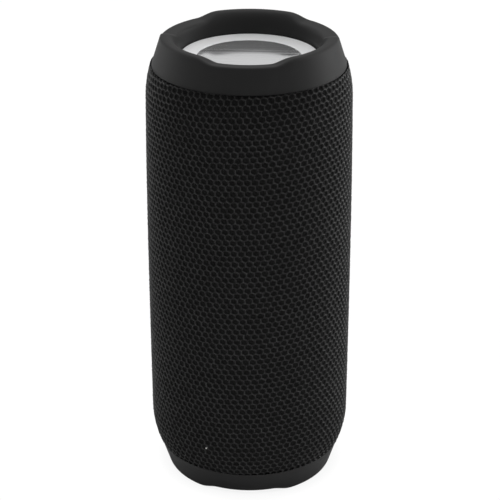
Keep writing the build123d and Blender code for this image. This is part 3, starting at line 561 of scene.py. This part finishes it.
def symbol_loops(name, z):
    """Outlines of the sign cut into a key's face; islands come as loops inside loops."""
    line = SYMBOL_LINE / 2
    reach = SYMBOL_R
    inner_r = reach - SYMBOL_LINE
    if name == "volume_down_button":
        return [box_loop(-reach, reach, z - line, z + line)]
    if name == "volume_up_button":
        plus = [(line, line), (line, reach), (-line, reach), (-line, line),
                (-reach, line), (-reach, -line), (-line, -line), (-line, -reach),
                (line, -reach), (line, -line), (reach, -line), (reach, line)]
        return [[(x, z + up) for x, up in plus]]
    if name == "play_button":
        return [[(1.6, z - 2.1), (1.6, z + 2.1), (-2.2, z)]]
    if name == "mode_button":
        return [circle(0, z, reach), circle(0, z, inner_r)]
    sweep = np.radians(np.linspace(116, 424, 40))
    broken_ring = [(reach * math.cos(t), z + reach * math.sin(t)) for t in sweep]
    broken_ring += [(inner_r * math.cos(t), z + inner_r * math.sin(t)) for t in sweep[::-1]]
    return [broken_ring, box_loop(-line, line, z + 0.3, z + 2.9)]


def key_cap(name, z):
    """Round key with its sign sunk to a paler inlay."""
    bm = bmesh.new()
    proud = SPINE_PROUD + KEY_PROUD
    bent_panel(bm, [circle(0, z, KEY_R, 64)] + symbol_loops(name, z), proud, KEY_T, 0.12, step=0.6)
    bent_panel(bm, [circle(0, z, 3.4)], proud - SYMBOL_DEPTH, 0.9, 0.1, shade=1)
    return finish_panels(f"{name.removesuffix('_button')}_key_cap", bm)


def port_flap():
    """Cover over the ports: curved plate with a rounded knuckle on its hinge line."""
    half_w = BAY_HALF_W - FLAP_CLEAR
    bm = bmesh.new()
    outline = box_loop(-half_w, half_w, HINGE_Z, BAY_HIGH - FLAP_CLEAR, 0.35, 3)
    bent_panel(bm, [outline], SPINE_PROUD, FLAP_T, 0.22)
    columns = 28
    bevel = 0.2
    rings = [(-half_w, KNUCKLE_R - bevel), (-half_w + bevel, KNUCKLE_R),
             (half_w - bevel, KNUCKLE_R), (half_w, KNUCKLE_R - bevel)]
    loops = []
    for x, radius in rings:
        turns = [2 * math.pi * k / columns for k in range(columns)]
        loops.append([bm.verts.new((x * MM, (HINGE_Y + radius * math.cos(t)) * MM,
                                    (HINGE_Z + radius * math.sin(t)) * MM)) for t in turns])
    knuckle = [bm.faces.new(loops[0]), bm.faces.new(loops[-1][::-1])]
    for a, b in zip(loops, loops[1:]):
        for k in range(columns):
            nxt = (k + 1) % columns
            knuckle.append(bm.faces.new((a[k], b[k], b[nxt], a[nxt])))
    for face in knuckle:
        face.smooth = True
    bmesh.ops.recalc_face_normals(bm, faces=knuckle)
    return finish_panels("port_cover", bm)


def flap_gasket():
    """Soft raised rib inside the flap."""
    low, high = HINGE_Z + 2.4, BAY_HIGH - 1.2
    outer = box_loop(-4.6, 4.6, low, high, 1.0)
    inner = box_loop(-3.8, 3.8, low + 0.8, high - 0.8, 0.5)
    bm = bmesh.new()
    bent_panel(bm, [outer, inner], SPINE_PROUD - 1.45, 0.85, 0.3)
    return finish_panels("port_cover_seal", bm)


def ring_from_loop(name, loop, mirror, columns=192):
    """Turned ring from a closed loop of (radius, height) points."""
    points, faces = [], []
    for i in range(columns):
        turn = 2 * math.pi * i / columns
        for r, z in loop:
            points.append((r * math.cos(turn), r * math.sin(turn), HEIGHT - z if mirror else z))
    count = len(loop)
    for i in range(columns):
        here, there = i * count, (i + 1) % columns * count
        for k in range(count):
            nxt = (k + 1) % count
            face = (here + k, there + k, there + nxt, here + nxt)
            faces.append(tuple(reversed(face)) if mirror else face)
    return mesh_object(name, points, faces, sharp=50)


def surround_loop():
    """Section of the rubber surround: two flat lips with a half roll hanging between them."""
    mid_r = (ROLL_IN_R + ROLL_OUT_R) / 2
    outer_r = (ROLL_OUT_R - ROLL_IN_R) / 2 + 0.2
    inner_r = outer_r - ROLL_T
    top = LIP_Z + LIP_T
    down = np.linspace(0, math.pi, 15)
    loop = [(HUB_R, LIP_Z), (HUB_R, top)]
    loop += [(mid_r - inner_r * math.cos(t), top - inner_r * math.sin(t)) for t in down]
    loop += [(LIP_R, top), (LIP_R, LIP_Z)]
    loop += [(mid_r + outer_r * math.cos(t), top - outer_r * math.sin(t)) for t in down[3:-3]]
    return loop


# ---- Materials --------------------------------------------------------------------------------
class Nodes:
    """Short way to add and join shader nodes in one material."""

    def __init__(self, name):
        self.material = bpy.data.materials.new(name)
        self.material.use_nodes = True
        self.tree = self.material.node_tree
        self.shader = self.tree.nodes["Principled BSDF"]

    def add(self, kind, settings=None, **inputs):
        """New node; settings are its properties, inputs are values or output sockets."""
        node = self.tree.nodes.new(kind)
        for key, value in (settings or {}).items():
            setattr(node, key, value)
        for key, value in inputs.items():
            self.feed(node.inputs[key.replace("_", " ")], value)
        return node

    def feed(self, socket, value):
        """Joins an output to a socket or sets the socket's value."""
        if isinstance(value, bpy.types.NodeSocket):
            self.tree.links.new(value, socket)
        else:
            socket.default_value = value

    def set(self, **inputs):
        """Sets inputs of the main shader."""
        for key, value in inputs.items():
            self.feed(self.shader.inputs[key.replace("_", " ")], value)

    def place(self, scale=(1, 1, 1)):
        """Object coordinates in metres, stretched by a scale."""
        coords = self.add("ShaderNodeTexCoord").outputs["Object"]
        return self.add("ShaderNodeMapping", Vector=coords, Scale=scale).outputs[0]

    def noise(self, scale, detail=3.0, where=None):
        """Noise value at a scale, per metre."""
        where = where or self.place()
        return self.add("ShaderNodeTexNoise", Vector=where, Scale=scale, Detail=detail).outputs["Fac"]

    def ramp(self, value, stops):
        """Colour ramp through (position, grey or colour) stops."""
        node = self.add("ShaderNodeValToRGB", Fac=value)
        elements = node.color_ramp.elements
        while len(elements) < len(stops):
            elements.new(0.5)
        for element, (position, colour) in zip(elements, stops):
            element.position = position
            element.color = (*colour, 1) if isinstance(colour, tuple) else (colour,) * 3 + (1,)
        return node.outputs["Color"]

    def map(self, value, low, high):
        """Noise value moved to a range of numbers."""
        return self.add("ShaderNodeMapRange", Value=value, To_Min=low, To_Max=high).outputs[0]

    def combine(self, operation, first, second):
        """Sum, product and so on of two values."""
        node = self.add("ShaderNodeMath", {"operation": operation})
        self.feed(node.inputs[0], first)
        self.feed(node.inputs[1], second)
        return node.outputs[0]

    def bump(self, height, distance, strength=1.0):
        """Bump from a height value; the distance is in metres."""
        node = self.add("ShaderNodeBump", Height=height, Distance=distance, Strength=strength)
        self.set(Normal=node.outputs[0])


def grey(value, tint=(1.0, 1.0, 1.0)):
    """Grey with a tint, as an RGBA colour."""
    return (value * tint[0], value * tint[1], value * tint[2], 1)


def plain(name, dark, light, rough, metallic=0.0, grain=900.0, bump=0.00003, **more):
    """Material with a fine mottle between two colours and a fine grain."""
    nodes = Nodes(name)
    mottle = nodes.noise(grain / 6, 4.0)
    colour = nodes.ramp(mottle, [(0.3, dark), (0.7, light)])
    fine = nodes.noise(grain * 3, 2.0)
    shine = nodes.map(fine, rough - 0.06, rough + 0.06)
    nodes.set(Base_Color=colour, Metallic=metallic, Roughness=shine)
    nodes.bump(fine, bump, 0.5)
    for key, value in more.items():
        nodes.set(**{key: value})
    return nodes.material


def knit_material():
    """Black yarn: painted highlight makes the crests paler and painted shade darkens the holes and the
    turned-in edges; uneven glints and a trace of sheen.
    """
    nodes = Nodes("knit_yarn_painted_light")
    painted_shade = nodes.add("ShaderNodeAttribute", {"attribute_name": "painted_shade"}).outputs["Fac"]
    cloudy = nodes.map(nodes.noise(700, 3.0), 0.6, 1.4)
    grainy = nodes.map(nodes.noise(2600, 1.0), 0.1, 1.9)
    patchy = nodes.combine("MULTIPLY", cloudy, grainy)
    patchy = nodes.add("ShaderNodeCombineColor", Red=patchy, Green=patchy, Blue=patchy).outputs[0]
    # painted light: crests painted paler, hole floors and turned-in edges painted darker
    painted_tone = nodes.ramp(painted_shade, [(0.0, 0.022), (0.45, 0.013), (0.85, 0.011), (1.0, 0.010)])
    colour = nodes.add("ShaderNodeVectorMath", {"operation": "MULTIPLY"})
    nodes.feed(colour.inputs[0], painted_tone)
    nodes.feed(colour.inputs[1], patchy)
    uneven = nodes.map(nodes.noise(1700, 2.0), -0.3, 2.2)
    glint = nodes.combine("MULTIPLY", nodes.ramp(painted_shade, [(0.1, 0.8), (0.6, 0.08)]), uneven)
    nodes.set(Base_Color=colour.outputs[0], Roughness=0.38, Specular_IOR_Level=glint,
              Sheen_Weight=0.05, Sheen_Roughness=0.3, Sheen_Tint=grey(0.8))
    nodes.bump(nodes.noise(5200, 2.0), 0.00012, 0.8)
    return nodes.material


def rubber_material():
    """Soft matt rubber of the rings."""
    nodes = Nodes("ring_rubber")
    cloud = nodes.noise(60, 4.0)
    colour = nodes.ramp(cloud, [(0.3, 0.018), (0.7, 0.022)])
    fine = nodes.noise(4500, 2.0)
    nodes.set(Base_Color=colour, Roughness=nodes.map(fine, 0.52, 0.62), Specular_IOR_Level=0.27)
    nodes.bump(fine, 0.00002, 0.5)
    return nodes.material


def satin_material():
    """Bead-blasted silver of the plate's sloping rim."""
    nodes = Nodes("satin_silver")
    grain = nodes.noise(3000, 3.0)
    colour = nodes.ramp(grain, [(0.25, (0.93, 0.935, 0.94)), (0.75, (0.98, 0.985, 0.99))])
    nodes.set(Base_Color=colour, Metallic=0.35, Roughness=nodes.map(grain, 0.38, 0.5))
    nodes.bump(grain, 0.00001, 0.4)
    return nodes.material


def aluminium_material():
    """Brushed aluminium: fine straight streaks along X."""
    nodes = Nodes("brushed_aluminium")
    streaks = nodes.noise(100, 6.0, nodes.place((0.15, 6.0, 1.0)))
    broad = nodes.noise(40, 2.0, nodes.place((0.2, 3.0, 1.0)))
    colour = nodes.ramp(streaks, [(0.3, (0.71, 0.715, 0.72)), (0.7, (0.85, 0.855, 0.86))])
    rough = nodes.combine("ADD", nodes.map(streaks, -0.06, 0.28), nodes.map(broad, -0.01, 0.02))
    nodes.set(Base_Color=colour, Metallic=0.82, Roughness=rough)
    nodes.bump(streaks, 0.000006, 0.4)
    return nodes.material


MATERIALS = {
    "knit_fabric": knit_material(),
    "soft_rubber": rubber_material(),
    "spun_aluminium": aluminium_material(),
    "soft_plastic": plain("spine_plastic", 0.017, 0.022, 0.5),
    "key_rubber": plain("key_rubber", 0.028, 0.034, 0.55),
    "black_plastic": plain("black_plastic", 0.012, 0.016, 0.42),
    "foam_rubber": plain("foam_rubber", 0.02, 0.04, 0.9, grain=1500.0, bump=0.0002),
    "surround_rubber": plain("surround_rubber", 0.010, 0.014, 0.45),
    "screw_steel": plain("screw_steel", 0.25, 0.4, 0.35, metallic=1.0),
    "driver_steel": plain("driver_steel", 0.35, 0.5, 0.3, metallic=1.0),
    "ferrite": plain("ferrite", 0.03, 0.045, 0.6, metallic=0.3),
    "cone_paper": plain("cone_paper", 0.015, 0.03, 0.8, grain=2500.0, bump=0.0001),
    "spider_cloth": plain("spider_cloth", (0.35, 0.22, 0.08), (0.5, 0.33, 0.14), 0.85),
    "coil_copper": plain("coil_copper", (0.6, 0.25, 0.1), (0.8, 0.38, 0.18), 0.3, metallic=1.0),
    "circuit_board": plain("circuit_board", (0.01, 0.08, 0.03), (0.015, 0.12, 0.045), 0.4),
    "chip_plastic": plain("chip_plastic", 0.015, 0.025, 0.45),
    "plated_shell": plain("plated_shell", 0.55, 0.7, 0.25, metallic=1.0),
    "cell_wrap": plain("cell_wrap", (0.02, 0.09, 0.3), (0.03, 0.12, 0.4), 0.35),
    # clear plastic: its faint white emission is a painted glow, as the part is no lamp
    "clear_plastic": plain("clear_plastic", 0.85, 0.95, 0.2, Emission_Color=grey(1.0),
                           Emission_Strength=0.03),
    "satin_silver": satin_material(),
    "sign_inlay": plain("sign_inlay", 0.30, 0.36, 0.5),
    "wire_jacket": plain("wire_jacket", (0.3, 0.01, 0.01), (0.45, 0.02, 0.02), 0.5),
}


def dress_cad_nodes():
    """Gives every CAD node the material of its slot."""
    for part in frame["record"]["subparts"]:
        obj = frame["nodes"][part["node"]]
        obj.data.materials.clear()
        obj.data.materials.append(MATERIALS[part["material_slot"]])


# ---- Studio -----------------------------------------------------------------------------------
def floor():
    """Large pale floor that looks white and adds little light of its own; a painted contact shadow darkens
    it near the speaker.
    """
    far, under = 2e4, -0.05
    corners = [(-far, -far, under), (far, -far, under), (far, far, under), (-far, far, under)]
    obj = mesh_object("floor", corners, [(0, 1, 2, 3)])
    nodes = Nodes("pale_floor_painted_shadow")
    path = nodes.add("ShaderNodeLightPath").outputs["Is Camera Ray"]
    # painted shadow: ambient occlusion darkens the floor's glow near the speaker
    near = nodes.add("ShaderNodeAmbientOcclusion", {"samples": 16}, Distance=0.012).outputs["AO"]
    shade = nodes.ramp(near, [(0.0, 0.8), (0.7, 1.0)])
    glow = nodes.add("ShaderNodeEmission", Color=shade, Strength=1.02).outputs[0]
    nodes.set(Base_Color=grey(0.95), Roughness=0.9)
    mix = nodes.add("ShaderNodeMixShader", Fac=path)
    nodes.feed(mix.inputs[1], nodes.shader.outputs[0])
    nodes.feed(mix.inputs[2], glow)
    output = nodes.tree.nodes["Material Output"]
    nodes.feed(output.inputs["Surface"], mix.outputs[0])
    obj.data.materials.append(nodes.material)


def world():
    """Weak even light, and white where the camera sees past the floor."""
    scene = bpy.context.scene
    scene.world = bpy.data.worlds.new("studio")
    scene.world.use_nodes = True
    tree = scene.world.node_tree
    background = tree.nodes["Background"]
    path = tree.nodes.new("ShaderNodeLightPath")
    strength = tree.nodes.new("ShaderNodeMapRange")
    strength.inputs["To Min"].default_value = 0.22
    strength.inputs["To Max"].default_value = 1.0
    tree.links.new(path.outputs["Is Camera Ray"], strength.inputs["Value"])
    tree.links.new(strength.outputs[0], background.inputs["Strength"])
    background.inputs["Color"].default_value = (1, 1, 1, 1)


def softbox(name, place_m, size, radiance, mirrored=True):
    """Rectangular lamp that faces the speaker; radiance 1 looks white."""
    lamp = bpy.data.lights.new(name, "AREA")
    lamp.shape = "RECTANGLE"
    lamp.size, lamp.size_y = size
    lamp.energy = radiance * math.pi * size[0] * size[1]
    obj = bpy.data.objects.new(name, lamp)
    obj.location = place_m
    facing = Vector((0, 0, 0.09)) - Vector(place_m)
    obj.rotation_euler = facing.to_track_quat("-Z", "Y").to_euler()
    obj.visible_glossy = mirrored
    bpy.context.scene.collection.objects.link(obj)


def lights():
    """Two side boxes, panels behind and above, and two fills that shiny parts don't mirror."""
    softbox("left_box", (-1.45, 0.7, 0.55), (0.8, 1.5), 1.45)
    softbox("right_box", (1.45, 0.6, 0.55), (0.8, 1.5), 3.4)
    softbox("rear_panel", (0, 2.0, 1.5), (3.0, 2.2), 0.46)
    softbox("top_panel", (0, 0.2, 2.0), (2.0, 2.0), 0.65)
    softbox("top_fill", (0, 0.2, 2.01), (2.0, 2.0), 1.1, mirrored=False)
    softbox("front_fill", (0.3, -2.2, 1.6), (1.6, 1.0), 0.35, mirrored=False)


def camera():
    """Camera at the photograph's viewing angle."""
    turn = math.radians(2.6)
    tilt = math.radians(24.84)
    roll = math.radians(-0.06)
    away, aside, height = 0.61169, 0.00023, 0.37383
    data = bpy.data.cameras.new("camera")
    data.lens = 125.02
    data.sensor_width = 36.0
    data.clip_end = 100.0
    obj = bpy.data.objects.new("camera", data)
    place_m = Vector((away * math.sin(turn) + aside * math.cos(turn),
                      -away * math.cos(turn) + aside * math.sin(turn), height))
    facing = (Matrix.Rotation(turn, 4, "Z") @ Matrix.Rotation(math.pi / 2 - tilt, 4, "X")
              @ Matrix.Rotation(roll, 4, "Z"))
    obj.matrix_world = Matrix.Translation(place_m) @ facing
    bpy.context.scene.collection.objects.link(obj)
    bpy.context.scene.camera = obj


# ---- Build ------------------------------------------------------------------------------------
def build():
    """Makes every visible piece, then the studio."""
    dress_cad_nodes()
    place(fabric_sleeve(), "chassis", "knit_fabric", MATERIALS["knit_fabric"], "fabric_sleeve")
    for end, at_top in (("top", True), ("bottom", False)):
        ring = end_ring(f"{end}_rubber_ring", at_top)
        place(ring, "chassis", "soft_rubber", MATERIALS["soft_rubber"], f"{end}_end_ring")
        plate = lathe(f"{end}_silver_plate", plate_profile(), mirror=not at_top)
        place(plate, f"{end}_radiator", "spun_aluminium", MATERIALS["spun_aluminium"],
              f"{end}_radiator_plate")
        plate.data.materials.append(MATERIALS["satin_silver"])
        for face in plate.data.polygons:
            face.material_index = int(math.hypot(*face.center[:2]) > DISC_R * MM)
        roll = ring_from_loop(f"{end}_rubber_surround", surround_loop(), mirror=not at_top)
        place(roll, f"{end}_radiator", "surround_rubber", MATERIALS["surround_rubber"],
              f"{end}_radiator_surround")
    place(rear_spine(), "chassis", "soft_plastic", MATERIALS["soft_plastic"], "rear_spine")
    for name, z in KEY_HEIGHTS.items():
        cap = place(key_cap(name, z), name.replace("button", "key"), "key_rubber",
                    MATERIALS["key_rubber"], name)
        cap.data.materials.append(MATERIALS["sign_inlay"])
    place(port_flap(), "flap", "key_rubber", MATERIALS["key_rubber"], "port_flap")
    place(flap_gasket(), "flap", "foam_rubber", MATERIALS["foam_rubber"], "flap_gasket")
    floor()
    world()
    lights()
    camera()
    bpy.context.scene.view_settings.view_transform = "Standard"


build()
